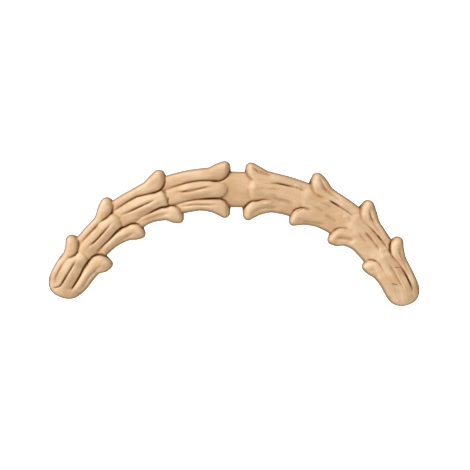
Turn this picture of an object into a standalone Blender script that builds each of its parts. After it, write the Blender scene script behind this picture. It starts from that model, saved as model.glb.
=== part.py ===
"""Arched frieze of nested husks, carved as one piece of pale hardwood with a flat back.

Four husks a side hang mouth to base along an arch, their mouths turned to a plain half-round boss
at the crown. Each husk has an outer, a centre and an inner petal. The back lies in the plane Y = 0,
the carving faces -Y, +Z is up, and the origin is on the back behind the middle of the boss.

The carving is a height above the back, worked out in two coordinates that follow the arch:
s runs from the crown along the centre line, t runs outwards from it. Sizes are in millimetres,
and MM turns them into metres. The husks are drawn in shares of the arm's length and of the
band's half width.
"""

from collections import namedtuple

import bmesh
import bpy
import numpy as np

MM = 0.001

# The arch: a short straight crown, then an arc to each rounded end
CROWN_HALF = 10.0
ARCH_RADIUS = 140.0
ARM_LENGTH = 181.2
END_ROUND = 15.0
BAND_HALF_WIDTH = 14.8
BOSS_HALF_LENGTH = 15.0
BOSS_RUN_OUT = 7.5

# Thickness above the back
EDGE_THICKNESS = 4.5
BOSS_THICKNESS = 11.9
MOUTH_THICKNESS = 15.4
PETAL_THICKNESS = 13.4
BETWEEN_THICKNESS = 9.6
END_THICKNESS = 11.6

# Petals
TIP_ROUND = 5.0
KNEE_AFTER_TIP = 6.0
SHOULDER_AFTER_TIP = 13.0
CREST_AFTER_MOUTH = 9.0
ROOT_AFTER_WAIST = 14.0
ROOT_FADE = 3.0
UNDERLAP = 2.0
LAP = 0.5
EXTRA_LAPS = 3.0
BLEND = 0.5
FULLNESS = 2.3
TIP_FULLNESS = 1.7

# Cuts
CREASE_DEPTH = 2.6
CREASE_HALF_WIDTH = 0.75
GROOVE_DEPTH = 2.2
GROOVE_HALF_WIDTH = 1.2

# Mesh
GRID_ALONG = 0.9
GRID_ACROSS = 0.55
MARGIN = 16.0
SKIN_TRIANGLES = 8600

# Stations are hundredths of the arm's length, lines hundredths of the band's half width.
# A side petal: the station and the reach of its tip, then its edge line and its crease line at the
# knee, shoulder, waist and root, and the crease's share of its depth at the tip and at those four
Petal = namedtuple("Petal", "tip reach edge crease depth")
# A husk: the stations of its centre tip and waist, the length of its tongue, its root's share of
# the mouth's thickness, and its side petals
Husk = namedtuple("Husk", "mouth waist tongue root outer inner")
# A groove: the stations of its ends, its line at even steps between them, and its shares of the
# groove's depth and width
Groove = namedtuple("Groove", "start end line depth width")
# How a half is cut, in shares of the sizes above: the thickness of the mouths, of the side petals
# and between the petals, how softly surfaces meet, how far the petals lap over their creases
Finish = namedtuple("Finish", "mouth petal between blend lap")

LEFT_HUSKS = (
    Husk(2.2, 18.8, 7.5, 0.76,
         Petal(5.8, 157, (143, 123, 123, 119), (43, 49, 53, 34), (1.0, 0.9, 0.3, 0.15, 0.5)),
         Petal(5.4, -161, (-146, -127, -112, -109), (-51, -51, -49, -45), (0.5, 1.0, 0.9, 0.35, 0.5))),
    Husk(31.7, 45.3, 2.5, 0.80,
         Petal(32.5, 166, (149, 128, 123, 124), (49, 57, 73, 64), (0.9, 0.8, 0.5, 0.5, 0.6)),
         Petal(29.5, -157, (-146, -115, -95, -101), (-46, -38, -45, -34), (0.3, 0.9, 0.8, 0.25, 0.3))),
    Husk(54.4, 65.7, 4.0, 0.86,
         Petal(56.2, 164, (145, 112, 108, 103), (63, 68, 66, 58), (0.7, 0.5, 0.1, 0.35, 0.6)),
         Petal(51.0, -145, (-135, -111, -92, -85), (-38, -29, -38, -28), (0.7, 0.9, 1.0, 0.8, 0.4))),
    Husk(76.4, 87.7, 4.0, 0.75,
         Petal(76.8, 149, (124, 109, 118, 115), (47, 73, 80, 71), (0.7, 0.8, 0.1, 0.25, 0.1)),
         Petal(74.3, -153, (-147, -119, -109, -92), (-30, -29, -37, -24), (0.9, 1.0, 0.9, 0.9, 0.5))),
)
RIGHT_HUSKS = (
    Husk(4.4, 18.8, 3.5, 0.88,
         Petal(6.2, 153, (134, 112, 105, 96), (46, 43, 50, 47), (0.6, 0.15, 0.15, 0.35, 0.2)),
         Petal(5.6, -172, (-154, -132, -114, -111), (-61, -49, -47, -42), (0.8, 0.7, 0.6, 0.05, 0))),
    Husk(27.3, 43.6, 5.0, 0.88,
         Petal(33.2, 172, (154, 124, 118, 111), (50, 55, 53, 51), (0.3, 0.35, 0.35, 0.55, 0)),
         Petal(29.6, -157, (-143, -124, -107, -100), (-41, -42, -42, -41), (0.7, 0.5, 0.05, 0, 0))),
    Husk(51.0, 64.6, 5.0, 0.88,
         Petal(56.0, 182, (159, 127, 120, 97), (63, 62, 61, 53), (0.4, 0.2, 0.45, 0.5, 0.5)),
         Petal(52.1, -150, (-141, -107, -92, -93), (-27, -30, -36, -35), (0.6, 0.3, 0.15, 0.1, 0))),
    Husk(71.5, 86.6, 5.0, 0.79,
         Petal(74.5, 155, (131, 111, 107, 104), (50, 58, 61, 59), (1.0, 0.5, 0.3, 0.8, 0.9)),
         Petal(74.5, -124, (-118, -99, -92, -88), (-33, -38, -44, -41), (0.5, 0.3, 0.1, 0, 0))),
)
LEFT_GROOVES = (
    Groove(9.5, 29.0, (9, 16, 7, 18), 0.7, 1),
    Groove(35.5, 55.0, (9, 12, 16, 28), 0.7, 1),
    Groove(58.6, 77.0, (22, 15, 11, 24), 0.75, 1),
    Groove(81.0, 98.5, (23, 26, 29, 55), 0.75, 1),
    Groove(7.5, 28.5, (-90, -85, -75, -69), 0.6, 1),
    Groove(31.5, 49.7, (-89, -79, -70, -59), 0.35, 2),
    Groove(52.4, 71.7, (-97, -80, -69, -55), 0.4, 2),
    Groove(75.6, 93.8, (-110, -88, -80, -68), 0.6, 1.5),
)
RIGHT_GROOVES = (
    Groove(6.0, 16.0, (132, 101, 91, 84), 0.7, 1.6),
    Groove(32.8, 47.5, (149, 98, 88, 84), 0.8, 1.6),
    Groove(56.0, 69.5, (152, 101, 88, 81), 0.8, 1.6),
    Groove(74.5, 90.0, (132, 92, 86, 82), 0.7, 1.4),
    Groove(6.6, 22.1, (-135, -101, -88, -81), 0.6, 2),
    Groove(30.4, 46.9, (-122, -105, -88, -74), 0.7, 2),
    Groove(52.5, 61.8, (-101, -84, -64, -54), 0.7, 2),
    Groove(75.6, 82.8, (-88, -81, -78, -74), 0.4, 2),
    Groove(60.7, 72.3, (27, 22, 18, 8), 0.45, 1),
    Groove(78.0, 92.7, (8, 11, 11, 17), 0.5, 1),
)
# The left half is cut crisply, and the right half is worn softer
CRISP = Finish(1, 1, 1, 1, 1)
SOFT = Finish(0.95, 0.985, 1.15, 2, 1.8)


def along(share):
    """The station in millimetres at so many hundredths of the arm's length."""
    return share * ARM_LENGTH / 100


def across(shares):
    """The line in millimetres at so many hundredths of the band's half width."""
    return np.array(shares) * BAND_HALF_WIDTH / 100


def placed_petal(petal):
    """The petal with its stations and lines in millimetres."""
    lines = across(petal.reach), across(petal.edge), across(petal.crease)
    return Petal(along(petal.tip), *lines, petal.depth)


def placed_husks(husks):
    return [Husk(along(husk.mouth), along(husk.waist), along(husk.tongue), husk.root * MOUTH_THICKNESS,
                 placed_petal(husk.outer), placed_petal(husk.inner)) for husk in husks]


def smooth_line(x, knots, slope=None):
    """The curve through the (x, y) knots, in cubic spans that never overshoot them."""
    knot_x, knot_y = np.array(knots, float).T
    gap = np.diff(knot_x)
    rise = np.diff(knot_y) / gap
    slopes = np.zeros(len(knot_x))
    same = rise[:-1] * rise[1:] > 0
    slopes[1:-1][same] = 2 * rise[:-1][same] * rise[1:][same] / (rise[:-1] + rise[1:])[same]
    slopes[0] = rise[0] if slope is None else slope
    slopes[-1] = rise[-1]
    i = np.clip(np.searchsorted(knot_x, x) - 1, 0, len(gap) - 1)
    f = np.clip((x - knot_x[i]) / gap[i], 0, 1)
    g = 1 - f
    near = knot_y[i] * (1 + 2 * f) + slopes[i] * gap[i] * f
    far = knot_y[i + 1] * (1 + 2 * g) - slopes[i + 1] * gap[i] * g
    return g * g * near + f * f * far


def ramp(x, low, high):
    """0 below low, 1 above high, smooth between them."""
    f = np.clip((x - low) / (high - low), 0, 1)
    return f * f * (3 - 2 * f)


def fade(x, low, high):
    return 1 - ramp(x, low, high)


def bell(x, middle, half_width):
    return np.exp(-(((x - middle) / half_width) ** 2))


def dome(offset, fullness=FULLNESS):
    """1 at offset 0, falling to 0 at offset 1 as a full round."""
    return (1 - np.clip(offset, 0, 1) ** fullness) ** (1 / fullness)


def mound(offset, crest):
    """The height over a form whose crest line is at offset 0 and whose side is at offset 1."""
    return EDGE_THICKNESS + (crest - EDGE_THICKNESS) * dome(offset)


def blend_up(first, second, radius):
    """The higher of two surfaces, with their meeting line rounded."""
    share = np.clip(0.5 + 0.5 * (first - second) / radius, 0, 1)
    return second + (first - second) * share + radius * share * (1 - share)


def band(s, t, husks, finish):
    """The arch under the husks: its height, its footprint and how near the rounded end is."""
    lines = []
    for sign, sides in ((1, [husk.outer for husk in husks]), (-1, [husk.inner for husk in husks])):
        knots = [(0, sign * BAND_HALF_WIDTH), (CROWN_HALF, sign * BAND_HALF_WIDTH)]
        for husk, side in zip(husks, sides):
            knots += [(husk.waist, side.edge[2]), (husk.waist + ROOT_AFTER_WAIST, side.edge[3])]
        lines.append(smooth_line(s, knots))
    top, bottom = lines
    half = (top - bottom) / 2
    past = np.clip((s - ARM_LENGTH + END_ROUND) / END_ROUND, 0, None)
    offset = (np.abs((t - (top + bottom) / 2) / half) ** FULLNESS + past**FULLNESS) ** (1 / FULLNESS)
    crest = smooth_line(s, [(0, BOSS_THICKNESS), (BOSS_HALF_LENGTH, BOSS_THICKNESS),
                            (BOSS_HALF_LENGTH + BOSS_RUN_OUT, finish.between),
                            (ARM_LENGTH - END_ROUND, finish.between),
                            (ARM_LENGTH - 0.4 * END_ROUND, END_THICKNESS), (ARM_LENGTH, END_THICKNESS)])
    near_end = offset * ramp(s, ARM_LENGTH - 1.3 * END_ROUND, ARM_LENGTH - 0.6 * END_ROUND)
    return mound(offset, crest), half * (1 - offset), near_end


def edge_line(s, petal, waist, end):
    """The free edge of a side petal, which turns round at the tip."""
    knots = zip((petal.tip, petal.tip + KNEE_AFTER_TIP, petal.tip + SHOULDER_AFTER_TIP, waist, end),
                (petal.reach, *petal.edge))
    back = TIP_ROUND * np.sign(petal.reach) * (1 - dome((petal.tip - s) / TIP_ROUND, 2))
    return smooth_line(s, list(knots), 0.0) - back


def crease_line(s, petal, waist, end, to_tip=True):
    """The crease between a side petal and the centre petal, with or without its turn to the tip."""
    knee = petal.tip + KNEE_AFTER_TIP
    line = smooth_line(s, list(zip((knee, petal.tip + SHOULDER_AFTER_TIP, waist, end), petal.crease)), 0.0)
    if not to_tip:
        return line
    tip = petal.reach - np.sign(petal.reach) * TIP_ROUND
    return line + (tip - petal.crease[0]) * (1 - dome((knee - s) / (TIP_ROUND + KNEE_AFTER_TIP), 2))


def crease_share(s, petal, waist, end):
    """The crease's share of its full depth, as it comes and goes along the petal."""
    start, knee, shoulder = petal.tip + np.array([-TIP_ROUND, KNEE_AFTER_TIP, SHOULDER_AFTER_TIP])
    return smooth_line(s, list(zip((start, knee, shoulder, waist, end), petal.depth)))


def lap_at(s, petal, waist, end, finish):
    """How far the petals lap over the crease between them, which is more where it is faint."""
    return finish.lap * (1 + EXTRA_LAPS * (1 - crease_share(s, petal, waist, end)))


def sunk(height, near_end, end):
    """The height of a petal of the last husk, rounded down with the end of the arm."""
    if end < ARM_LENGTH:
        return height
    return EDGE_THICKNESS + (height - EDGE_THICKNESS) * dome(near_end)


def side_petal(s, t, petal, waist, end, root, finish, near_end):
    """The height and footprint of a side petal."""
    sign = np.sign(petal.reach)
    start = petal.tip - TIP_ROUND
    edge = edge_line(s, petal, waist, end)
    from_tip = ramp(s, petal.tip - 0.4 * TIP_ROUND, petal.tip + 0.8 * TIP_ROUND)
    crease = crease_line(s, petal, waist, end) - sign * from_tip * lap_at(s, petal, waist, end, finish)
    half = np.maximum(sign * (edge - crease) / 2, BLEND / 100)
    offset = np.abs(t - (edge + crease) / 2) / half
    if end < ARM_LENGTH:
        offset = np.hypot(offset, np.clip((s - end + ROOT_FADE) / ROOT_FADE, 0, None))
    top = finish.petal
    crest = smooth_line(s, [(start, 0.90 * top), (petal.tip + KNEE_AFTER_TIP / 2, top),
                            (waist, 0.97 * top), (end - UNDERLAP, root), (end, root)])
    crest = EDGE_THICKNESS + (crest - EDGE_THICKNESS) * dome((petal.tip - s) / TIP_ROUND, TIP_FULLNESS)
    height = np.where((s > start) & (offset < 1), mound(offset, crest), EDGE_THICKNESS)
    footprint = np.where(s > start, np.minimum(half, TIP_ROUND) * (1 - offset), -MARGIN)
    given_up = ramp(s, ARM_LENGTH - 1.3 * END_ROUND, ARM_LENGTH - END_ROUND)
    return sunk(height, near_end, end), footprint - (TIP_ROUND + UNDERLAP) * given_up


def centre_petal(s, t, husk, end, finish, near_end):
    """The height of the centre petal, a tongue that lies between the creases."""
    upper, lower = (crease_line(s, petal, husk.waist, end, False)
                    + np.sign(petal.reach) * lap_at(s, petal, husk.waist, end, finish)
                    for petal in (husk.outer, husk.inner))
    beside = (t - (upper + lower) / 2) / ((upper - lower) / 2)
    before = np.clip((husk.mouth + husk.tongue - s) / husk.tongue, 0, None)
    offset = np.hypot(beside, before)
    if end < ARM_LENGTH:
        offset = np.hypot(offset, np.clip((s - end) / (2 * ROOT_FADE) + 1, 0, None))
    top = finish.mouth
    crest = smooth_line(s, [(husk.mouth, 0.96 * top), (husk.mouth + CREST_AFTER_MOUTH, top),
                            (husk.waist + ROOT_FADE, 0.91 * top),
                            (end - UNDERLAP, husk.root), (end, husk.root)])
    height = np.where((s > husk.mouth) & (offset < 1), mound(offset, crest), EDGE_THICKNESS)
    return sunk(height, near_end, end)


def crease_cut(s, t, petal, waist, end):
    """The depth cut along a side petal's crease, even in width however steeply it crosses the arm."""
    start = petal.tip - TIP_ROUND
    step = CREASE_HALF_WIDTH / 10
    line = crease_line(s, petal, waist, end)
    slope = (crease_line(s + step, petal, waist, end) - line) / step
    depth = CREASE_DEPTH * crease_share(s, petal, waist, end)
    run = ramp(s, start, start + UNDERLAP) * fade(s, ARM_LENGTH - END_ROUND, ARM_LENGTH - END_ROUND / 2)
    return depth * run * (s < end) * bell((t - line) / np.hypot(1, slope), 0, CREASE_HALF_WIDTH)


def groove_cut(s, t, groove):
    """The depth of a groove, which runs out at both ends."""
    start, end = along(groove.start), along(groove.end)
    line = smooth_line(s, list(zip(np.linspace(start, end, len(groove.line)), across(groove.line))))
    share = (s - start) / (end - start)
    run = ramp(share, 0, 0.3) * fade(share, 0.7, 1)
    return GROOVE_DEPTH * groove.depth * run * bell(t, line, GROOVE_HALF_WIDTH * groove.width)


def half_relief(s, t, husks, grooves, shares):
    """The height and footprint of one half of the frieze."""
    finish = Finish(shares.mouth * MOUTH_THICKNESS, shares.petal * PETAL_THICKNESS,
                    shares.between * BETWEEN_THICKNESS, shares.blend * BLEND, shares.lap * LAP)
    husks = placed_husks(husks)
    height, footprint, near_end = band(s, t, husks, finish)
    for husk, after in zip(husks, husks[1:] + [None]):
        if after:
            outer_end, inner_end = after.outer.tip + KNEE_AFTER_TIP, after.inner.tip + KNEE_AFTER_TIP
            centre_end, root = after.mouth + after.tongue, finish.between
        else:
            outer_end = inner_end = centre_end = ARM_LENGTH
            root = END_THICKNESS
        sides = ((husk.outer, outer_end), (husk.inner, inner_end))
        for petal, end in sides:
            rise, reach = side_petal(s, t, petal, husk.waist, end, root, finish, near_end)
            height = blend_up(height, rise, finish.blend)
            footprint = np.maximum(footprint, reach)
        height = blend_up(height, centre_petal(s, t, husk, centre_end, finish, near_end), finish.blend)
        for petal, end in sides:
            height = height - crease_cut(s, t, petal, husk.waist, end)
    for groove in grooves:
        height = height - groove_cut(s, t, groove)
    return np.maximum(height, EDGE_THICKNESS), footprint


def relief(s, t):
    """The height and footprint at places along the arch, where s is negative on the left half."""
    height, footprint = np.empty_like(s), np.empty_like(s)
    for chosen, half in ((s < 0, (LEFT_HUSKS, LEFT_GROOVES, CRISP)),
                         (s >= 0, (RIGHT_HUSKS, RIGHT_GROOVES, SOFT))):
        height[chosen], footprint[chosen] = half_relief(np.abs(s[chosen]), t[chosen], *half)
    return height, footprint


def on_arch(s, t):
    """The X and Z of a place along the arch."""
    turn = np.maximum(np.abs(s) - CROWN_HALF, 0) / ARCH_RADIUS
    x = np.minimum(np.abs(s), CROWN_HALF) + (ARCH_RADIUS + t) * np.sin(turn)
    z = (ARCH_RADIUS + t) * np.cos(turn) - ARCH_RADIUS
    return np.sign(s) * x, z


def grid_triangles(rows, columns):
    """Two triangles for each cell of a grid whose points run along its rows."""
    first = (np.arange(rows - 1)[:, None] * columns + np.arange(columns - 1)).ravel()
    lower = np.stack([first, first + 1, first + columns + 1], 1)
    upper = np.stack([first, first + columns + 1, first + columns], 1)
    return np.concatenate([lower, upper])


def snap_to_outline(s, t, footprint):
    """Moves the points next to the outline onto it, so that no sliver is cut off them."""
    step = GRID_ACROSS / 10
    slope_s = (relief(s + step, t)[1] - relief(s - step, t)[1]) / (2 * step)
    slope_t = (relief(s, t + step)[1] - relief(s, t - step)[1]) / (2 * step)
    steep = np.maximum(slope_s**2 + slope_t**2, 0.05)
    close = np.abs(footprint) < 0.3 * GRID_ACROSS * np.sqrt(steep)
    move = np.where(close, footprint / steep, 0)
    return s - move * slope_s, t - move * slope_t, np.where(close, 0.0, footprint)


def clip_to_outline(points, footprint, triangles):
    """The part of each triangle where the footprint isn't negative, with new points on its edges."""
    inside = footprint >= 0
    count = inside[triangles].sum(1)
    pairs, new_index, cut = [], {}, []

    def crossing(a, b):
        key = (min(a, b), max(a, b))
        if key not in new_index:
            new_index[key] = len(points) + len(pairs)
            pairs.append(key)
        return new_index[key]

    for triangle in triangles[(count > 0) & (count < 3)]:
        ring = []
        for a, b in zip(triangle, np.roll(triangle, -1)):
            if inside[a]:
                ring.append(a)
            if inside[a] != inside[b] and footprint[a] != 0 and footprint[b] != 0:
                ring.append(crossing(a, b))
        cut += [(ring[0], ring[i], ring[i + 1]) for i in range(1, len(ring) - 1)]
    a, b = np.array(pairs).T
    share = (footprint[a] / (footprint[a] - footprint[b]))[:, None]
    points = np.concatenate([points, points[a] + share * (points[b] - points[a])])
    return points, np.concatenate([triangles[count == 3], np.array(cut)])


def rim_of(triangles, count):
    """True for the points on the rim of an open surface."""
    edges = np.concatenate([triangles[:, [0, 1]], triangles[:, [1, 2]], triangles[:, [2, 0]]])
    edges, uses = np.unique(np.sort(edges, axis=1), axis=0, return_counts=True)
    rim = np.zeros(count, bool)
    rim[edges[uses == 1]] = True
    return rim


def carved_skin():
    """The carved face as an open mesh, its rim on the outline at EDGE_THICKNESS."""
    reach = BAND_HALF_WIDTH + MARGIN
    stations = np.arange(-ARM_LENGTH - GRID_ALONG, ARM_LENGTH + 2 * GRID_ALONG, GRID_ALONG)
    lines = np.arange(-reach, reach, GRID_ACROSS)
    s, t = (part.ravel() for part in np.meshgrid(stations, lines))
    s, t, footprint = snap_to_outline(s, t, relief(s, t)[1])
    cells = grid_triangles(len(lines), len(stations))
    points, triangles = clip_to_outline(np.stack([s, t], 1), footprint, cells)
    used, triangles = np.unique(triangles, return_inverse=True)
    triangles = triangles.reshape(-1, 3)
    s, t = points[used].T
    height = relief(s, t)[0]
    height[rim_of(triangles, len(used))] = EDGE_THICKNESS
    x, z = on_arch(s, t)
    mesh = bpy.data.meshes.new("carved_skin")
    mesh.from_pydata(np.stack([x, -height, z], 1) * MM, [], triangles)
    return mesh


def simplified(mesh, triangles):
    """The mesh with fewer triangles, the small ones kept where the carving turns sharply."""
    helper = bpy.data.objects.new("skin_helper", mesh)
    bpy.context.collection.objects.link(helper)
    decimate = helper.modifiers.new("fewer", "DECIMATE")
    decimate.ratio = triangles / len(mesh.polygons)
    graph = bpy.context.evaluated_depsgraph_get()
    result = bpy.data.meshes.new_from_object(helper.evaluated_get(graph))
    bpy.data.objects.remove(helper)
    return result


def closed_body(mesh):
    """Carries the skin's rim straight back to Y = 0 and closes the back with one flat face."""
    body = bmesh.new()
    body.from_mesh(mesh)
    rim = [edge for edge in body.edges if edge.is_boundary]
    sides = bmesh.ops.extrude_edge_only(body, edges=rim)["geom"]
    for part in sides:
        if isinstance(part, bmesh.types.BMVert):
            part.co.y = 0.0
    bmesh.ops.holes_fill(body, edges=[edge for edge in body.edges if edge.is_boundary])
    bmesh.ops.recalc_face_normals(body, faces=body.faces)
    body.to_mesh(mesh)
    body.free()
    return mesh


def wood_material():
    colour = (0.651, 0.434, 0.258, 1.0)
    material = bpy.data.materials.new("pale_hardwood")
    material.use_nodes = True
    shader = material.node_tree.nodes["Principled BSDF"]
    shader.inputs["Base Color"].default_value = colour
    shader.inputs["Roughness"].default_value = 0.55
    shader.inputs["Metallic"].default_value = 0.0
    material.diffuse_color = colour
    return material


def build_frieze():
    mesh = closed_body(simplified(carved_skin(), SKIN_TRIANGLES))
    mesh.name = "frieze"
    frieze = bpy.data.objects.new("frieze", mesh)
    bpy.context.collection.objects.link(frieze)
    mesh.materials.append(wood_material())
    mesh.shade_smooth()
    mesh.set_sharp_from_angle(angle=np.radians(50))
    return frieze


def main():
    for old in list(bpy.data.objects):
        bpy.data.objects.remove(old)
    build_frieze()


main()
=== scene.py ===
"""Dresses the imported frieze: an arch of nested husks, carved as one piece of pale hardwood.

The fine carving is one closed surface. A ring of points round the section, over the carved face,
down a side, across the back and up the other side, is carried along the arch. The height of the
carved face is worked out in two coordinates: s runs along the arch from the crown, negative on
the left half, and t runs outwards from its centre line.
"""

import math
from collections import namedtuple

import bpy
import numpy as np
from mathutils import Matrix, Vector


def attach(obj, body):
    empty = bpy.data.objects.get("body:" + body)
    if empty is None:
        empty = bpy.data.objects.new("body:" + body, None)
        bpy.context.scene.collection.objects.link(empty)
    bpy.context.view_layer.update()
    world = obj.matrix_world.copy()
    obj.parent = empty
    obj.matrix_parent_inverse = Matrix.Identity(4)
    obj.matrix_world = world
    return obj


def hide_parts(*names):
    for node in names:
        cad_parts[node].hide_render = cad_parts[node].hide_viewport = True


bl_info = {
    "name": "Carved Husk Frieze",
    "version": (1, 0, 0),
    "blender": (4, 5, 0),
    "location": "3D View > Sidebar > Frieze",
    "description": "Makes the carved surface, the wood and the stage of an arched husk frieze",
    "category": "Object",
}

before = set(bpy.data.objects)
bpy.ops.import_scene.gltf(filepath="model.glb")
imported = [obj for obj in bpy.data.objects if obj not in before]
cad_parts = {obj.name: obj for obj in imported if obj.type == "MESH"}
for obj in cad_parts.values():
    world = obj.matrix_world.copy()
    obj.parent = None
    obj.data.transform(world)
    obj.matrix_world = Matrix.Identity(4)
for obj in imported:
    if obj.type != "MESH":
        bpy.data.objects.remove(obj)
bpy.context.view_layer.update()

# The photograph: its side in pixels, where the frieze's own origin lies in it, how far the camera
# is turned, and the real length that a pixel covers, as the frieze is 0.305 m and 371.5 pixels wide
PHOTO_SIDE = 470
PHOTO_ORIGIN = (236.88, 189.38)
PHOTO_TURN = math.radians(1.23)
METRES_PER_PIXEL = 0.305 / 371.5
# The camera: how far it stands before the middle of the carving's depth, how far that is before
# the back, and the width of its sensor in millimetres
CAMERA_DISTANCE = 2.4
MIDDLE_DEPTH = 0.006
SENSOR_WIDTH = 36.0
# The lights: where they stand, the sides of their squares, the main one's colour, and the place
# that both are turned to
KEY_PLACE = (-2.4, -2.0, 2.6)
KEY_SIDE = 1.4
KEY_COLOUR = (0.98, 1.0, 1.0)
FILL_PLACE = (1.1, -1.5, -0.2)
FILL_SIDE = 1.6
LIT_PLACE = (0.0, 0.0, -0.035)
# The floor's height, how far the floor and the backdrop reach, and how rough they are
FLOOR_HEIGHT = -1.3
STAGE_REACH = 5.0
STAGE_ROUGHNESS = 0.9

# The fine surface: how far apart its stations are, and how many points lie across the carved
# face, down a side and across the back
ALONG_STEP = 0.00047
FACE_POINTS = 104
SIDE_POINTS = 3
BACK_POINTS = 7
# How many times closer the stations are round an end, and how much of its round they cover
END_CROWDING = 1.3
END_COVER = 0.9985
# How far beyond the band the forms may reach, and how many samples across find the outline
MARGIN = 0.016
OUTLINE_SAMPLES = 801
# The strip along each side of the face where the tool marks fade, the share of the face's points
# that lie out from the eased lines at its edge, and how many stations to either side ease them
EDGE_SOFT = 0.0012
EDGE_SHARE = 0.17
EASE_STATIONS = 9
# How much of the spacing across is even at the rounded ends, the rest being closer at both sides
END_EVENNESS = 0.6
# The angle past which an edge of the mesh is shaded sharp
SHARP_ANGLE = math.radians(60)

# How full the rounded forms and the petals' tips are: 2 is an ellipse, more is fuller, less leaner
FULLNESS = 2.3
TIP_FULLNESS = 1.7
# Back from the end of an arm, in lengths of its round: where the face's points start to gather,
# where the forms start to sink to the round and have sunk, and where the end has its own thickness
GATHER_START = 2
SINK_START = 1.3
SINK_END = 0.6
END_CREST = 0.4
# The shares of their thickness that side petals have at the tip and the waist, and centre petals
# at the mouth and the waist
SIDE_TIP = 0.90
SIDE_WAIST = 0.97
CENTRE_MOUTH = 0.96
CENTRE_WAIST = 0.91
# From a tip, in radii of the tip: where the petal starts to lap over its crease, and laps in full
LAP_START = -0.4
LAP_END = 0.8
# The share of a groove's length over which it runs out at either end
GROOVE_RUN_OUT = 0.3

# The side of the grid of random values that noise is eased from, then the gouge marks and the torn
# grain, in layers: each layer's strength, the length and the width of its marks, and its seed
NOISE_CELLS = 64
GOUGE_LAYERS = ((1.0, 0.0055, 0.0021, 3), (0.6, 0.0017, 0.0011, 7))
TORN_LAYERS = ((1.0, 0.0080, 0.0009, 11), (1.0, 0.0130, 0.0040, 13))
# How far from the crown the boss is sanded smooth, and where the marks have come in fully
SMOOTH_SPAN = (0.006, 0.020)

# The depth of each place below the carving around it, which sets where shade and highlights are
# painted into the wood's colour: how far round the mean is taken, the step of the grid it is worked
# out on, how many spreads a blur reaches, a bell curve's half width in spreads, and the least share
# of wood that a mean is taken over
HOLLOW_REACH = 0.0017
SHADE_STEP = 0.00035
BLUR_REACH = 3
BELL_WIDTH = 1.41
LEAST_WOOD = 0.01
# The rim of painted shade along the outline: how far in from the outline it fades, the share of
# that where it is full, and its strength on the sides and the back
RIM_WIDTH = 0.0022
RIM_FULL = 1 / 3
BACK_RIM_SHADE = 0.35

# A pattern in the wood: how strongly it is mixed in, what its place is multiplied by along X, Y
# and Z, and its noise's scale, detail and distortion
Pattern = namedtuple("Pattern", "share stretch scale detail distortion")
FIGURE = Pattern(0.3, (3.0, 30.0, 34.0), 1.4, 3.0, 0.6)
FIBRE = Pattern(0.2, (60.0, 900.0, 900.0), 1.0, 3.0, 0.0)
PORE = Pattern(0.25, (170.0, 1500.0, 1500.0), 1.0, 1.0, 0.0)
BLOTCH = Pattern(1.1, (0.5, 1.0, 1.0), 95.0, 2.5, 0.0)
# The tone where the grain turns from dark to pale, half the turn's span at full grain, and the
# noise where a pore starts and where it is full
TONE_MIDDLE = 0.8
TONE_SPREAD = 0.35
PORE_SPAN = (0.60, 0.72)
# Along X: where the darker colour round the crown starts and is full, and where it fades
CROWN_START = (-0.035, -0.015)
CROWN_FADE = (0.050, 0.085)
# How far below the carving around it the wood lies where the painted highlight on the crests and the
# painted shade beside and in the creases start, and where each is full
CREST_HIGHLIGHT_SPAN = (0.0, -0.0009)
FLANK_SHADE_SPAN = (-0.0001, 0.0006)
CREASE_SHADE_SPAN = (0.0004, 0.0014)
# The wood's gloss, how much its roughness varies, and the rise of the fibres, the depth of the
# pores, the strength and the distance of its bump
GLOSS = 0.35
ROUGHNESS_SPREAD = 0.1
FIBRE_RISE = 0.6
PORE_DEPTH = 0.5
BUMP_STRENGTH = 0.25
BUMP_DISTANCE = 0.00015

# Stations are hundredths of the arm's length, lines hundredths of the band's half width.
# A side petal: the station and the reach of its tip, then its edge line and its crease line at the
# knee, shoulder, waist and root, and the crease's share of its depth at the tip and at those four
Petal = namedtuple("Petal", "tip reach edge crease depth")
# A husk: the stations of its centre tip and waist, the length of its tongue, its root's share of
# the mouth's thickness, and its side petals
Husk = namedtuple("Husk", "mouth waist tongue root outer inner")
# A groove: the stations of its ends, its line at even steps between them, and its shares of the
# groove's depth and width. A depth below 0 leaves a ridge instead.
Groove = namedtuple("Groove", "start end line depth width")
# How a half is cut, in shares of the sizes above: the thickness of the mouths, of the side petals
# and between the petals, how softly surfaces meet, how far the petals lap over their creases
Finish = namedtuple("Finish", "mouth petal between blend lap")

LEFT_HUSKS = (
    Husk(2.2, 18.8, 7.5, 0.76,
         Petal(5.8, 157, (143, 123, 123, 119), (43, 49, 53, 34), (0.6, 0.9, 0.4, 0.4, 0)),
         Petal(5.4, -161, (-146, -127, -112, -109), (-51, -51, -49, -45), (0.15, 0.9, 0.9, 0.4, 0.1))),
    Husk(31.7, 45.3, 2.5, 0.80,
         Petal(32.5, 166, (149, 128, 123, 124), (49, 57, 73, 64), (0.6, 0.8, 0.4, 0.4, 0)),
         Petal(29.5, -157, (-146, -115, -95, -101), (-46, -38, -45, -34), (0.2, 0.7, 0.8, 0.1, 0))),
    Husk(54.4, 65.7, 4.0, 0.86,
         Petal(56.2, 164, (145, 112, 108, 103), (63, 68, 66, 58), (0.5, 0.5, 0.05, 0.35, 0)),
         Petal(51.0, -145, (-135, -111, -92, -85), (-38, -29, -38, -28), (0.5, 0.9, 0.9, 0.55, 0))),
    Husk(76.4, 87.7, 4.0, 0.75,
         Petal(76.8, 149, (124, 109, 118, 115), (47, 73, 80, 71), (0.6, 0.6, 0, 0.05, 0)),
         Petal(74.3, -153, (-147, -119, -109, -92), (-30, -29, -37, -24), (0.8, 0.9, 0.8, 0.8, 0.4))),
)
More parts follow.
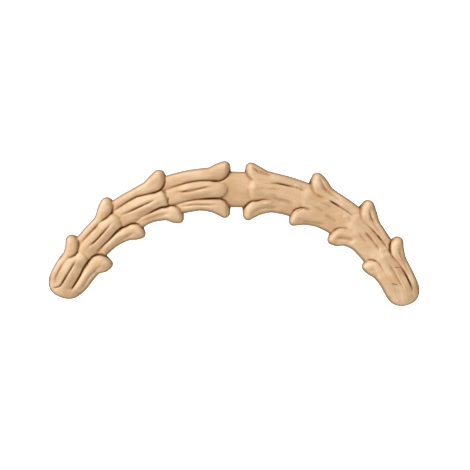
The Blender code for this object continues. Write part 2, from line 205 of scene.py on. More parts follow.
RIGHT_HUSKS = (
    Husk(4.4, 18.8, 3.5, 0.88,
         Petal(6.2, 153, (134, 112, 105, 96), (46, 43, 50, 47), (0.45, 0.1, 0.05, 0.5, 0)),
         Petal(5.6, -172, (-154, -132, -114, -111), (-61, -49, -47, -42), (0.7, 0.7, 0.35, 0, 0))),
    Husk(27.3, 43.6, 5.0, 0.88,
         Petal(33.2, 172, (154, 124, 118, 111), (50, 55, 53, 51), (0.1, 0.3, 0.05, 0.6, 0)),
         Petal(29.6, -157, (-143, -124, -107, -100), (-41, -42, -42, -41), (0.7, 0.45, 0, 0, 0))),
    Husk(51.0, 64.6, 5.0, 0.88,
         Petal(56.0, 182, (159, 127, 120, 97), (63, 62, 61, 53), (0.25, 0.1, 0.4, 0.6, 0.2)),
         Petal(52.1, -150, (-141, -107, -92, -93), (-27, -30, -36, -35), (0.6, 0.15, 0, 0, 0))),
    Husk(71.5, 86.6, 5.0, 0.79,
         Petal(74.5, 155, (131, 111, 107, 104), (50, 58, 61, 59), (1.0, 0.5, 0.3, 0.8, 0.9)),
         Petal(74.5, -124, (-118, -99, -92, -88), (-33, -38, -44, -41), (0.5, 0.3, 0.1, 0, 0))),
)
LEFT_GROOVES = (
    Groove(9.5, 28.5, (9, 12, 8, 3, 8, 16), 0.8, 1),
    Groove(35.5, 55.0, (9, 12, 16, 28), 0.8, 1),
    Groove(58.6, 75.0, (22, 15, 11, 20), 0.85, 0.9),
    Groove(81.0, 99.0, (23, 25, 27, 31, 72), 0.95, 0.9),
    Groove(7.5, 28.5, (-90, -85, -75, -69), 0.6, 1),
    Groove(31.5, 49.7, (-91, -80, -71, -59), 0.55, 1.8),
    Groove(51.8, 71.7, (-104, -84, -76, -70), 0.7, 1.5),
    Groove(75.6, 96.0, (-112, -92, -83, -81, -70), 0.75, 1.7),
)
RIGHT_GROOVES = (
    Groove(6.0, 16.0, (132, 101, 91, 84), 0.7, 1.6),
    Groove(32.8, 47.5, (149, 98, 88, 84), 0.65, 1.7),
    Groove(56.0, 69.5, (152, 101, 88, 81), 0.5, 1.8),
    Groove(74.5, 90.0, (132, 92, 86, 82), 0.5, 1.6),
    Groove(6.6, 22.1, (-135, -101, -88, -81), 0.6, 2),
    Groove(30.4, 46.9, (-122, -105, -88, -74), 0.7, 2),
    Groove(52.5, 61.8, (-101, -84, -64, -54), 0.7, 2),
    Groove(75.6, 82.8, (-88, -81, -78, -74), 0.4, 2),
    Groove(60.7, 72.3, (27, 22, 18, 8), 0.45, 1),
    Groove(78.0, 92.7, (8, 11, 11, 17), 0.5, 1),
)
# The left half is cut crisply, and the right half is worn softer
CRISP = Finish(1, 1, 1, 1, 1)
SOFT = Finish(0.95, 0.985, 1.15, 3.6, 1.8)
# Nicks, slips of the knife and small ridges, finer than the solid, on the left half and the right
LEFT_NICKS = (
    Groove(3.4, 8.2, (14, -24, -42, -50), 0.5, 0.8),
    Groove(30.5, 35.5, (2, -18, -34, -40), 0.5, 0.8),
    Groove(30.8, 35.0, (18, 36, 48), 0.35, 0.8),
    Groove(86.5, 95.0, (75, 79, 76), 0.25, 0.5),
    Groove(95.2, 97.6, (34, 66), 0.5, 0.6),
    Groove(12.0, 27.5, (-30, -36, -36), 0.2, 1.8),
    Groove(38.0, 50.0, (-24, -30, -26), 0.2, 1.8),
    Groove(18.0, 25.5, (13, 12, 6), 0.4, 0.5),
    Groove(42.5, 50.0, (12, 15, 20), 0.35, 0.5),
    Groove(63.5, 73.0, (13, 11, 16), 0.35, 0.5),
    Groove(89.0, 96.5, (27, 30, 40), 0.4, 0.5),
)
RIGHT_NICKS = (
    Groove(6.5, 9.5, (124, 110, 100), 0.3, 0.5),
    Groove(17.0, 24.5, (50, 49, 46), 0.5, 0.55),
    Groove(24.0, 27.5, (62, 48), 0.3, 0.6),
    Groove(8.5, 20.0, (14, 10, 16), 0.25, 1.4),
    Groove(15.0, 28.5, (-30, -38, -44), 0.55, 2.4),
    Groove(3.6, 9.6, (12, 14), -0.25, 2),
    Groove(24.3, 28.3, (60, 54), -0.4, 1.7),
    Groove(45.8, 50.6, (60, 56), -0.3, 1.5),
    Groove(71.0, 77.0, (14, 10), -0.3, 2),
    Groove(49.5, 53.5, (22, 16), -0.3, 1.6),
    Groove(12.5, 17.5, (-68, -60), -0.3, 1.3),
    Groove(33.8, 39.0, (150, 115, 88), 0.4, 0.5),
    Groove(41.0, 46.5, (54, 53, 50), 0.55, 0.55),
    Groove(38.0, 44.0, (22, 26), 0.25, 0.7),
    Groove(36.0, 42.0, (-12, -18), 0.25, 0.8),
    Groove(42.0, 50.0, (-26, -30), 0.3, 1.6),
    Groove(56.8, 62.5, (135, 108, 95), 0.45, 0.5),
    Groove(66.5, 70.0, (61, 58), 0.6, 0.55),
    Groove(62.0, 68.0, (23, 25, 19), 0.35, 0.5),
    Groove(60.0, 66.5, (-4, -12), 0.25, 0.8),
    Groove(68.6, 73.0, (24, 18, 4), 0.4, 0.6),
    Groove(72.0, 77.5, (96, 68, 46), 0.5, 0.5),
    Groove(86.0, 93.0, (62, 61, 59), 0.7, 0.6),
    Groove(82.0, 84.0, (22, 60), 0.5, 0.45),
    Groove(87.7, 90.0, (-34, -2), 0.5, 0.45),
    Groove(71.5, 77.0, (98, 68, 44), 0.3, 0.9),
    Groove(28.6, 33.0, (-88, -62, -34), 0.35, 0.7),
    Groove(80.5, 88.0, (-2, 3), 0.25, 0.6),
)


def length(name, description, default):
    """A setting in metres."""
    return bpy.props.FloatProperty(name=name, description=description, default=default, min=0.0,
                                   unit="LENGTH", precision=4)


def share(name, description, default, most=1.0):
    """A setting from 0 to the most that it may be."""
    return bpy.props.FloatProperty(name=name, description=description, default=default, min=0.0,
                                   max=most, subtype="FACTOR")


def colour(name, description, default):
    """A setting for a colour, in linear red, green and blue."""
    return bpy.props.FloatVectorProperty(name=name, description=description, default=default, size=3,
                                         min=0.0, max=1.0, subtype="COLOR")


class FriezeSizes(bpy.types.PropertyGroup):
    """The sizes that the carving is worked out from."""

    crown_half: length("Crown", "Half the straight part at the crown", 0.010)
    arch_radius: length("Arch radius", "Radius of the centre line", 0.140)
    arm: length("Arm", "From the crown to the end along the centre line", 0.1812)
    end_round: length("End round", "How far the rounded end reaches back", 0.015)
    band_half: length("Band", "Half the width of the band under the husks", 0.0148)
    boss_half: length("Boss", "Half the length of the boss at the crown", 0.015)
    boss_run_out: length("Boss run-out", "Length over which the boss sinks under the husks", 0.0075)
    edge: length("Edge", "Thickness at the outline", 0.0045)
    boss_thickness: length("Boss thickness", "Thickness at the boss", 0.0119)
    mouth_thickness: length("Mouth thickness", "Thickness at the mouth of a centre petal", 0.0154)
    petal_thickness: length("Petal thickness", "Thickness of a side petal", 0.0134)
    between_thickness: length("Valley thickness", "Thickness between the petals", 0.0096)
    end_thickness: length("End thickness", "Thickness at the ends", 0.0116)
    tip_round: length("Tip round", "Radius of a side petal's tip", 0.005)
    knee: length("Knee", "From a tip to its petal's knee", 0.006)
    shoulder: length("Shoulder", "From a tip to its petal's shoulder", 0.013)
    crest: length("Crest", "From a mouth to the crest of its centre petal", 0.009)
    root_after_waist: length("Root", "From the waist to the root", 0.014)
    root_fade: length("Root fade", "Length over which a root sinks under", 0.003)
    underlap: length("Underlap", "How far a petal runs under the next husk", 0.002)
    lap: length("Lap", "How far petals lap over their creases", 0.0005)
    extra_laps: bpy.props.FloatProperty(name="Extra laps", default=5.0, min=0.0,
                                        description="How many laps more where a crease runs out")
    blend: length("Blend", "How softly surfaces meet", 0.0005)
    crease_depth: length("Crease depth", "Depth of the deepest crease", 0.0026)
    crease_half: length("Crease width", "Half the width of a crease", 0.00060)
    groove_depth: length("Groove depth", "Depth of the deepest groove along a petal", 0.0022)
    groove_half: length("Groove width", "Half the width of a groove", 0.0010)
    tool_mark: length("Tool marks", "Height of the marks that the gouge leaves", 0.00013)
    torn_mark: length("Torn grain", "Height of the rougher marks on the right half", 0.00026)


class WoodLook(bpy.types.PropertyGroup):
    """The wood's colours, the painted shade and highlight, and how strongly each shows."""

    # The palest grain, whose colour is also painted on the crests as a highlight
    pale: colour("Pale wood", "The palest grain", (0.83, 0.65, 0.47))
    body: colour("Wood", "The main colour of the wood", (0.72, 0.485, 0.298))
    deep: colour("Late wood", "The darker grain", (0.56, 0.35, 0.19))
    # Painted shade: the brown put beside a crease, where shade falls
    flank_shade: colour("Flank", "The browner wood beside a crease", (0.43, 0.225, 0.095))
    # Painted shade: the dark colour put at the bottom of a crease, where shade falls
    crease: colour("Crease", "The wood at the bottom of a crease", (0.25, 0.12, 0.045))
    # Painted shade: the grey-brown put along the outline, where its rounded edge and sides are in shade
    rim_shade: colour("Rim", "The browner wood along the outline", (0.28, 0.225, 0.165))
    grain: share("Grain", "How strongly the grain shows", 0.4)
    roughness: share("Roughness", "Roughness of the sanded wood", 0.56)
    # How strong the painted highlight on the crests is
    crest_highlight_share: share("Worn shade", "How pale the crests are", 0.5)
    # How strong the painted shade beside the creases is
    flank_shade_share: share("Flank shade", "How brown the wood beside a crease is", 0.7)
    # How strong the painted shade at the bottoms of the creases is
    crease_share: share("Crease shade", "How dark the creases are", 0.55)
    # How strong the painted shade along the outline is
    rim_shade_share: share("Rim shade", "How brown the outline's edge is", 0.9)
    # How much darker the colour is made round the crown
    crown_share: share("Crown shade", "How much browner the wood is round the crown", 0.33)


class StageLook(bpy.types.PropertyGroup):
    """The floor, the backdrop and the lights."""

    floor: colour("Floor", "Colour of the floor", (0.86, 0.86, 0.85))
    backdrop: share("Backdrop", "Brightness of the backdrop", 1.0, 4.0)
    surround: share("Surround", "Brightness of the light from all round", 0.32, 4.0)
    bounce: colour("Bounce", "Colour of the light from all round, warmed by the wood and the room",
                   (1.0, 0.87, 0.69))
    key: bpy.props.FloatProperty(name="Key light", description="Power of the main light",
                                 default=160.0, min=0.0, unit="POWER")
    fill: bpy.props.FloatProperty(name="Fill light", description="Power of the soft fill",
                                  default=6.5, min=0.0, unit="POWER")


def smooth_line(x, knots, slope=None):
    """The curve through the (x, y) knots, in cubic spans that never overshoot them.

    The slope at the first knot may be given, and is otherwise that of the first span's chord.
    """
    knot_x, knot_y = np.array(knots, float).T
    gap = np.diff(knot_x)
    rise = np.diff(knot_y) / gap
    slopes = np.zeros(len(knot_x))
    same = rise[:-1] * rise[1:] > 0
    slopes[1:-1][same] = 2 * rise[:-1][same] * rise[1:][same] / (rise[:-1] + rise[1:])[same]
    slopes[0] = rise[0] if slope is None else slope
    slopes[-1] = rise[-1]
    i = np.clip(np.searchsorted(knot_x, x) - 1, 0, len(gap) - 1)
    f = np.clip((x - knot_x[i]) / gap[i], 0, 1)
    g = 1 - f
    near = knot_y[i] * (1 + 2 * f) + slopes[i] * gap[i] * f
    far = knot_y[i + 1] * (1 + 2 * g) - slopes[i + 1] * gap[i] * g
    return g * g * near + f * f * far


def ramp(x, low, high):
    """0 below low, 1 above high, smooth between them."""
    f = np.clip((x - low) / (high - low), 0, 1)
    return f * f * (3 - 2 * f)


def fade(x, low, high):
    """1 below low, 0 above high, smooth between them."""
    return 1 - ramp(x, low, high)


def bell(x, middle, half_width):
    """1 at the middle, falling off to both sides as a bell curve."""
    return np.exp(-(((x - middle) / half_width) ** 2))


def dome(offset, fullness=FULLNESS):
    """1 at offset 0, falling to 0 at offset 1 as a full round."""
    return (1 - np.clip(offset, 0, 1) ** fullness) ** (1 / fullness)


def blend_up(first, second, radius):
    """The higher of two surfaces, mixed where they are less than the radius apart."""
    part = np.clip(0.5 + 0.5 * (first - second) / radius, 0, 1)
    return second + (first - second) * part + radius * part * (1 - part)


def noise(s, t, cell_s, cell_t, seed):
    """Smooth random heights from -1 to 1: a grid of seeded values, eased from cell to cell."""
    values = np.random.default_rng(seed).uniform(-1, 1, (NOISE_CELLS, NOISE_CELLS))
    x, y = s / cell_s, t / cell_t
    i, j = np.floor(x).astype(int), np.floor(y).astype(int)
    f, g = ramp(x - i, 0, 1), ramp(y - j, 0, 1)
    k, m = (i + 1) % NOISE_CELLS, (j + 1) % NOISE_CELLS
    i, j = i % NOISE_CELLS, j % NOISE_CELLS
    near = values[i, j] * (1 - f) + values[k, j] * f
    far = values[i, m] * (1 - f) + values[k, m] * f
    return near * (1 - g) + far * g


def layered_noise(s, t, layers):
    """The sum of the layers of noise, each times its strength."""
    return sum(strength * noise(s, t, *cells_and_seed) for strength, *cells_and_seed in layers)


class Carving:
    """The relief of the frieze: a height over the back at each place along and across the arch."""

    def __init__(self, sizes):
        self.sizes = sizes
        self.left = self.half(LEFT_HUSKS, LEFT_GROOVES + LEFT_NICKS, CRISP)
        self.right = self.half(RIGHT_HUSKS, RIGHT_GROOVES + RIGHT_NICKS, SOFT)

    def half(self, husks, grooves, shares):
        """What a half is carved with: its husks in metres, its grooves, and how it is cut."""
        return [self.placed(husk) for husk in husks], grooves, self.cut(shares)

    def along(self, shares):
        """The station in metres at so many hundredths of the arm's length."""
        return shares * self.sizes.arm / 100

    def across(self, shares):
        """The line in metres at so many hundredths of the band's half width."""
        return np.array(shares) * self.sizes.band_half / 100

    def placed(self, husk):
        """The husk with its stations and lines in metres."""
        petals = [Petal(self.along(petal.tip), self.across(petal.reach), self.across(petal.edge),
                        self.across(petal.crease), petal.depth) for petal in (husk.outer, husk.inner)]
        return Husk(self.along(husk.mouth), self.along(husk.waist), self.along(husk.tongue),
                    husk.root * self.sizes.mouth_thickness, *petals)

    def cut(self, shares):
        """How a half is cut, in metres."""
        z = self.sizes
        return Finish(shares.mouth * z.mouth_thickness, shares.petal * z.petal_thickness,
                      shares.between * z.between_thickness, shares.blend * z.blend, shares.lap * z.lap)

    def mound(self, offset, crest):
        """The height over a form whose crest line is at offset 0 and whose side is at offset 1."""
        return self.sizes.edge + (crest - self.sizes.edge) * dome(offset)

    def band(self, s, t, husks, finish):
        """The arch under the husks: its height, its footprint and how near the rounded end is.

        It is a mound whose offset joins how far t is from the middle, in half widths, and how far
        s is past the straight part, in lengths of the end's round.
        """
        z = self.sizes
        lines = []
        for sign, sides in ((1, [husk.outer for husk in husks]), (-1, [husk.inner for husk in husks])):
            knots = [(0, sign * z.band_half), (z.crown_half, sign * z.band_half)]
            for husk, side in zip(husks, sides):
                knots += [(husk.waist, side.edge[2]), (husk.waist + z.root_after_waist, side.edge[3])]
            lines.append(smooth_line(s, knots))
        top, bottom = lines
        half = (top - bottom) / 2
        past = np.clip((s - z.arm + z.end_round) / z.end_round, 0, None)
        across = np.abs((t - (top + bottom) / 2) / half)
        offset = (across**FULLNESS + past**FULLNESS) ** (1 / FULLNESS)
        crest = smooth_line(s, [(0, z.boss_thickness), (z.boss_half, z.boss_thickness),
                                (z.boss_half + z.boss_run_out, finish.between),
                                (z.arm - z.end_round, finish.between),
                                (z.arm - END_CREST * z.end_round, z.end_thickness),
                                (z.arm, z.end_thickness)])
        near_end = offset * ramp(s, z.arm - SINK_START * z.end_round, z.arm - SINK_END * z.end_round)
        return self.mound(offset, crest), half * (1 - offset), near_end

    def edge_line(self, s, petal, waist, end):
        """The free edge of a side petal, a smooth line that turns in a quarter circle at the tip."""
        z = self.sizes
        knots = zip((petal.tip, petal.tip + z.knee, petal.tip + z.shoulder, waist, end),
                    (petal.reach, *petal.edge))
        back = z.tip_round * np.sign(petal.reach) * (1 - dome((petal.tip - s) / z.tip_round, 2))
        return smooth_line(s, list(knots), 0.0) - back

    def crease_line(self, s, petal, waist, end, to_tip=True):
        """The crease beside a side petal, a smooth line with or without its turn out to the tip."""
        z = self.sizes
        knee = petal.tip + z.knee
        line = smooth_line(s, list(zip((knee, petal.tip + z.shoulder, waist, end), petal.crease)), 0.0)
        if not to_tip:
            return line
        tip = petal.reach - np.sign(petal.reach) * z.tip_round
        return line + (tip - petal.crease[0]) * (1 - dome((knee - s) / (z.tip_round + z.knee), 2))

    def crease_share(self, s, petal, waist, end):
        """The crease's share of its full depth, as it comes and goes along the petal."""
        z = self.sizes
        stations = (petal.tip - z.tip_round, petal.tip + z.knee, petal.tip + z.shoulder, waist, end)
        return smooth_line(s, list(zip(stations, petal.depth)))

    def lap_at(self, s, petal, waist, end, finish):
        """How far the petals lap over the crease between them, which is more where it is faint."""
        return finish.lap * (1 + self.sizes.extra_laps * (1 - self.crease_share(s, petal, waist, end)))

    def sunk(self, height, near_end, end):
        """The height of a petal of the last husk, rounded down with the end of the arm."""
        if end < self.sizes.arm:
            return height
        return self.sizes.edge + (height - self.sizes.edge) * dome(near_end)

    def side_petal(self, s, t, petal, waist, end, root, finish, near_end):
        """The height and footprint of a side petal.

        It is a mound between its free edge and its crease, whose crest rises over the tip as a
        full round, and sinks under the next husk at its root.
        """
        z = self.sizes
        sign = np.sign(petal.reach)
        start = petal.tip - z.tip_round
        edge = self.edge_line(s, petal, waist, end)
        from_tip = ramp(s, petal.tip + LAP_START * z.tip_round, petal.tip + LAP_END * z.tip_round)
        lap = sign * from_tip * self.lap_at(s, petal, waist, end, finish)
        crease = self.crease_line(s, petal, waist, end) - lap
        thinnest = z.blend / 100
        half = np.maximum(sign * (edge - crease) / 2, thinnest)
        offset = np.abs(t - (edge + crease) / 2) / half
        if end < z.arm:
            offset = np.hypot(offset, np.clip((s - end + z.root_fade) / z.root_fade, 0, None))
        top = finish.petal
        crest = smooth_line(s, [(start, SIDE_TIP * top), (petal.tip + z.knee / 2, top),
                                (waist, SIDE_WAIST * top), (end - z.underlap, root), (end, root)])
        crest = z.edge + (crest - z.edge) * dome((petal.tip - s) / z.tip_round, TIP_FULLNESS)
        height = np.where((s > start) & (offset < 1), self.mound(offset, crest), z.edge)
        footprint = np.where(s > start, np.minimum(half, z.tip_round) * (1 - offset), -MARGIN)
        given_up = ramp(s, z.arm - SINK_START * z.end_round, z.arm - z.end_round)
        return self.sunk(height, near_end, end), footprint - (z.tip_round + z.underlap) * given_up

    def centre_petal(self, s, t, husk, end, finish, near_end):
        """The height of the centre petal, a mound between the creases with an elliptical mouth."""
        z = self.sizes
        upper, lower = (self.crease_line(s, petal, husk.waist, end, False)
                        + np.sign(petal.reach) * self.lap_at(s, petal, husk.waist, end, finish)
                        for petal in (husk.outer, husk.inner))
        beside = (t - (upper + lower) / 2) / ((upper - lower) / 2)
        before = np.clip((husk.mouth + husk.tongue - s) / husk.tongue, 0, None)
        offset = np.hypot(beside, before)
        if end < z.arm:
            offset = np.hypot(offset, np.clip((s - end) / (2 * z.root_fade) + 1, 0, None))
        top = finish.mouth
        crest = smooth_line(s, [(husk.mouth, CENTRE_MOUTH * top), (husk.mouth + z.crest, top),
                                (husk.waist + z.root_fade, CENTRE_WAIST * top),
                                (end - z.underlap, husk.root), (end, husk.root)])
        height = np.where((s > husk.mouth) & (offset < 1), self.mound(offset, crest), z.edge)
        return self.sunk(height, near_end, end)

    def crease_cut(self, s, t, petal, waist, end):
        """The depth of a crease: a bell curve across its line, no narrower where the line is steep."""
        z = self.sizes
        start = petal.tip - z.tip_round
        step = z.crease_half / 10
        line = self.crease_line(s, petal, waist, end)
        slope = (self.crease_line(s + step, petal, waist, end) - line) / step
        depth = z.crease_depth * self.crease_share(s, petal, waist, end)
        run = ramp(s, start, start + z.underlap) * fade(s, z.arm - z.end_round, z.arm - z.end_round / 2)
        return depth * run * (s < end) * bell((t - line) / np.hypot(1, slope), 0, z.crease_half)

    def groove_cut(self, s, t, groove):
        """The depth of a groove: a bell curve across its line, which runs out at both ends."""
        start, end = self.along(groove.start), self.along(groove.end)
        stations = np.linspace(start, end, len(groove.line))
        line = smooth_line(s, list(zip(stations, self.across(groove.line))))
        share_run = (s - start) / (end - start)
        run = ramp(share_run, 0, GROOVE_RUN_OUT) * fade(share_run, 1 - GROOVE_RUN_OUT, 1)
        width = self.sizes.groove_half * groove.width
        return self.sizes.groove_depth * groove.depth * run * bell(t, line, width)

    def half_relief(self, s, t, husks, grooves, finish):
        """The height and footprint of one half: the highest form, less the creases and grooves."""
        z = self.sizes
        height, footprint, near_end = self.band(s, t, husks, finish)
        for husk, after in zip(husks, husks[1:] + [None]):
            if after:
                outer_end, inner_end = after.outer.tip + z.knee, after.inner.tip + z.knee
                centre_end, root = after.mouth + after.tongue, finish.between
            else:
                outer_end = inner_end = centre_end = z.arm
                root = z.end_thickness
            sides = ((husk.outer, outer_end), (husk.inner, inner_end))
            for petal, end in sides:
                rise, reach = self.side_petal(s, t, petal, husk.waist, end, root, finish, near_end)
                height = blend_up(height, rise, finish.blend)
                footprint = np.maximum(footprint, reach)
            rise = self.centre_petal(s, t, husk, centre_end, finish, near_end)
            height = blend_up(height, rise, finish.blend)
            for petal, end in sides:
                height = height - self.crease_cut(s, t, petal, husk.waist, end)
        for groove in grooves:
            height = height - self.groove_cut(s, t, groove)
        return np.maximum(height, z.edge), footprint

    def relief(self, s, t):
        """The height and footprint at places along the arch."""
        height, footprint = np.empty_like(s), np.empty_like(s)
        for chosen, half in ((s < 0, self.left), (s >= 0, self.right)):
            height[chosen], footprint[chosen] = self.half_relief(np.abs(s[chosen]), t[chosen], *half)
        return height, footprint

    def on_arch(self, s, t):
        """The X and Z of a place along the arch: straight at the crown, then round the arch's centre."""
        z = self.sizes
        turn = np.maximum(np.abs(s) - z.crown_half, 0) / z.arch_radius
        x = np.minimum(np.abs(s), z.crown_half) + (z.arch_radius + t) * np.sin(turn)
        return np.sign(s) * x, (z.arch_radius + t) * np.cos(turn) - z.arch_radius

    def stations(self):
        """Places along the arch, evenly spaced and then closer and closer round each end."""
        z = self.sizes
        straight = z.arm - z.end_round
        turns = np.linspace(0, np.arcsin(END_COVER), int(END_CROWDING * z.end_round / ALONG_STEP))[1:]
        end = straight + z.end_round * np.sin(turns)
        middle = np.linspace(-straight, straight, int(2 * straight / ALONG_STEP))
        return np.concatenate([-end[::-1], middle, end])

    def outline(self, s):
        """The inner and the outer t of the outline at each station.

        The footprint is sampled across the arch, and it crosses 0 on the straight line between
        the first sample on the wood, or the last, and the one beside it.
        """
        reach = self.sizes.band_half + MARGIN
        t = np.linspace(-reach, reach, OUTLINE_SAMPLES)
        places = np.broadcast_arrays(s[:, None], t[None, :])
        footprint = self.relief(places[0].ravel(), places[1].ravel())[1].reshape(len(s), len(t))
        rows = np.arange(len(s))
        first = (footprint >= 0).argmax(1)
        last = len(t) - 1 - (footprint[:, ::-1] >= 0).argmax(1)
        step = t[1] - t[0]
        low, high = footprint[rows, first], footprint[rows, first - 1]
        inner = t[first] - step * low / (low - high)
        low, high = footprint[rows, last], footprint[rows, last + 1]
        return inner, t[last] + step * low / (low - high)


def smoothed(values, spread):
    """A grid of values blurred along both its sides by a bell curve, whose spread is in cells."""
    reach = int(BLUR_REACH * spread) + 1
    weights = bell(np.arange(-reach, reach + 1), 0, BELL_WIDTH * spread)
    for _ in range(2):
        padded = np.pad(values, ((0, 0), (reach, reach)), mode="edge")
        values = sum(w * padded[:, i:i + values.shape[1]] for i, w in enumerate(weights)).T
    return values / weights.sum() ** 2


def sampled(grid, x, y):
    """The grid's values at places counted in cells, eased from cell to cell."""
    i = np.clip(np.floor(x).astype(int), 0, grid.shape[0] - 2)
    j = np.clip(np.floor(y).astype(int), 0, grid.shape[1] - 2)
    f, g = np.clip(x - i, 0, 1), np.clip(y - j, 0, 1)
    near = grid[i, j] * (1 - f) + grid[i + 1, j] * f
    far = grid[i, j + 1] * (1 - f) + grid[i + 1, j + 1] * f
    return near * (1 - g) + far * g


def depth_below(carving, s, t, reach):
    """How far each place lies below the mean height of the carving around it, in metres."""
    side = carving.sizes.band_half + MARGIN
    grid_s = np.arange(-carving.sizes.arm - MARGIN, carving.sizes.arm + MARGIN, SHADE_STEP)
    grid_t = np.arange(-side, side, SHADE_STEP)
    places = np.meshgrid(grid_s, grid_t, indexing="ij")
    height, footprint = carving.relief(places[0].ravel(), places[1].ravel())
    height, wood = height.reshape(places[0].shape), (footprint > 0).reshape(places[0].shape) * 1.0
    around = smoothed(height * wood, reach / SHADE_STEP)
    around = around / np.maximum(smoothed(wood, reach / SHADE_STEP), LEAST_WOOD)
    return sampled(around - height, (s - grid_s[0]) / SHADE_STEP, (t - grid_t[0]) / SHADE_STEP)


def tube_faces(columns, ring):
    """The four corners of each face of a closed ring carried along some columns."""
    first = (np.arange(columns - 1)[:, None] * ring + np.arange(ring)).ravel()
    after = (np.arange(columns - 1)[:, None] * ring + (np.arange(ring) + 1) % ring).ravel()
    return np.stack([first, after, after + ring, first + ring], 1)


def eased_below(line):
    """The mean of the line's lowest values nearby, which runs on past the tips that stand out."""
    padded = np.pad(line, EASE_STATIONS, mode="edge")
    windows = [padded[i:i + len(line)] for i in range(2 * EASE_STATIONS + 1)]
    padded = np.pad(np.min(windows, axis=0), EASE_STATIONS, mode="edge")
    return np.mean([padded[i:i + len(line)] for i in range(2 * EASE_STATIONS + 1)], axis=0)


def face_lines(s, inner, outer, sizes):
    """The t of each point over the face: even between two eased lines, then out to the outline.

    At the rounded ends the points are instead spread from outline to outline, gathered a little
    at both sides as a cosine is.
    """
    even = np.linspace(0, 1, FACE_POINTS)
    gathered = END_EVENNESS * even + (1 - END_EVENNESS) / 2 * (1 - np.cos(np.pi * even))
    plain = inner[:, None] + (outer - inner)[:, None] * gathered
    knots = (0, EDGE_SHARE, 1 - EDGE_SHARE, 1)
    low, high = EDGE_SOFT - eased_below(-inner), eased_below(outer) - EDGE_SOFT
    eased = np.array([np.interp(even, knots, line) for line in zip(inner, low, high, outer)])
    gather, sink = sizes.arm - GATHER_START * sizes.end_round, sizes.arm - SINK_START * sizes.end_round
    rounded = ramp(np.abs(s), gather, sink)[:, None]
    return eased * (1 - rounded) + plain * rounded


def frieze_surface(sizes):
    """The closed surface: at each station a ring over the face, down, across the back and up.

    The face lies at the relief's height with the tool marks added, and the sides stand straight
    from the flat back up to the edge's thickness. Two values go with each point for the shade and
    highlights painted into the wood's colour: how deep it lies below the carving around it, and how
    near the outline it is.
    """
    carving = Carving(sizes)
    s = carving.stations()
    inner, outer = carving.outline(s)
    face_t = face_lines(s, inner, outer, sizes)
    face_s = np.broadcast_to(s[:, None], face_t.shape)
    height = carving.relief(face_s.ravel(), face_t.ravel())[0].reshape(face_t.shape)
    height[:, [0, -1]] = sizes.edge
    from_edge = np.minimum(face_t - inner[:, None], outer[:, None] - face_t)
    inside = ramp(from_edge, 0, EDGE_SOFT)
    # How deep each point lies below the carving around it, which sets where shade and highlights are
    # painted
    hollow = depth_below(carving, face_s, face_t, HOLLOW_REACH) * inside
    gouged = ramp(np.abs(face_s), *SMOOTH_SPAN) * layered_noise(face_s, face_t, GOUGE_LAYERS)
    torn = ramp(face_s, *SMOOTH_SPAN) * layered_noise(face_s, face_t, TORN_LAYERS)
    height = height + inside * (sizes.tool_mark * gouged + sizes.torn_mark * torn)
    down = np.linspace(1, 0, SIDE_POINTS + 2)[1:]
    side = sizes.edge * np.broadcast_to(down, (len(s), len(down)))
    back = np.linspace(0, 1, BACK_POINTS + 2)[1:-1]
    back_t = outer[:, None] + (inner - outer)[:, None] * back
    ring_t = np.concatenate([face_t, np.repeat(outer[:, None], len(down), 1), back_t,
                             np.repeat(inner[:, None], len(down), 1)], 1)
    ring_height = np.concatenate([height, side, np.zeros_like(back_t), side[:, ::-1]], 1)
    # The painted shade along the outline: at a set strength on the sides and the back, and on the face
    # full at the outline, fading inwards
    ring_hollow, ring_rim_shade = np.zeros_like(ring_t), np.full_like(ring_t, BACK_RIM_SHADE)
    ring_hollow[:, :FACE_POINTS] = hollow
    ring_rim_shade[:, :FACE_POINTS] = fade(from_edge, RIM_FULL * RIM_WIDTH, RIM_WIDTH)
    ring_s = np.broadcast_to(s[:, None], ring_t.shape)
    x, z = carving.on_arch(ring_s.ravel(), ring_t.ravel())
    points = np.stack([x, -ring_height.ravel(), z], 1)
    return points, tube_faces(*ring_t.shape), ring_t.shape, {"hollow": ring_hollow, "rim_shade": ring_rim_shade}


def mesh_of(name, points, faces, grid_shape):
    """A mesh of the four-sided faces, with a many-sided face to close each end of the tube."""
    columns, ring = grid_shape
    mesh = bpy.data.meshes.new(name)
    caps = np.concatenate([np.arange(ring)[::-1], (columns - 1) * ring + np.arange(ring)])
    corners = np.concatenate([faces.ravel(), caps])
    counts = np.concatenate([np.full(len(faces), 4), [ring, ring]])
    mesh.vertices.add(len(points))
    mesh.vertices.foreach_set("co", points.ravel())
    mesh.loops.add(len(corners))
    mesh.loops.foreach_set("vertex_index", corners.astype(np.int32))
    mesh.polygons.add(len(counts))
    mesh.polygons.foreach_set("loop_start", (np.cumsum(counts) - counts).astype(np.int32))
    mesh.update(calc_edges=True)
    mesh.validate()
    mesh.shade_smooth()
    mesh.set_sharp_from_angle(angle=SHARP_ANGLE)
    return mesh


class Value:
    """A number or colour that varies over a surface. Sums on it add Math nodes."""

    def __init__(self, shader, socket):
        self.shader = shader
        self.socket = socket

    def math(self, operation, other):
        """A Math node of this value and another value or number."""
        return self.shader.node("ShaderNodeMath", {"operation": operation}, {0: self, 1: other})

    def __add__(self, other):
        return self.math("ADD", other)

    def __radd__(self, other):
        return self.math("ADD", other)

    def __sub__(self, other):
        return self.math("SUBTRACT", other)

    def __rsub__(self, other):
        return self.shader.node("ShaderNodeMath", {"operation": "SUBTRACT"}, {0: other, 1: self})

    def __mul__(self, other):
        return self.math("MULTIPLY", other)

    def __rmul__(self, other):
        return self.math("MULTIPLY", other)

    def between(self, low, high):
        """0 where the value is low, 1 where it is high, eased between them."""
        return self.shader.node("ShaderNodeMapRange", {"interpolation_type": "SMOOTHSTEP"},
                                {"Value": self, "From Min": low, "From Max": high})


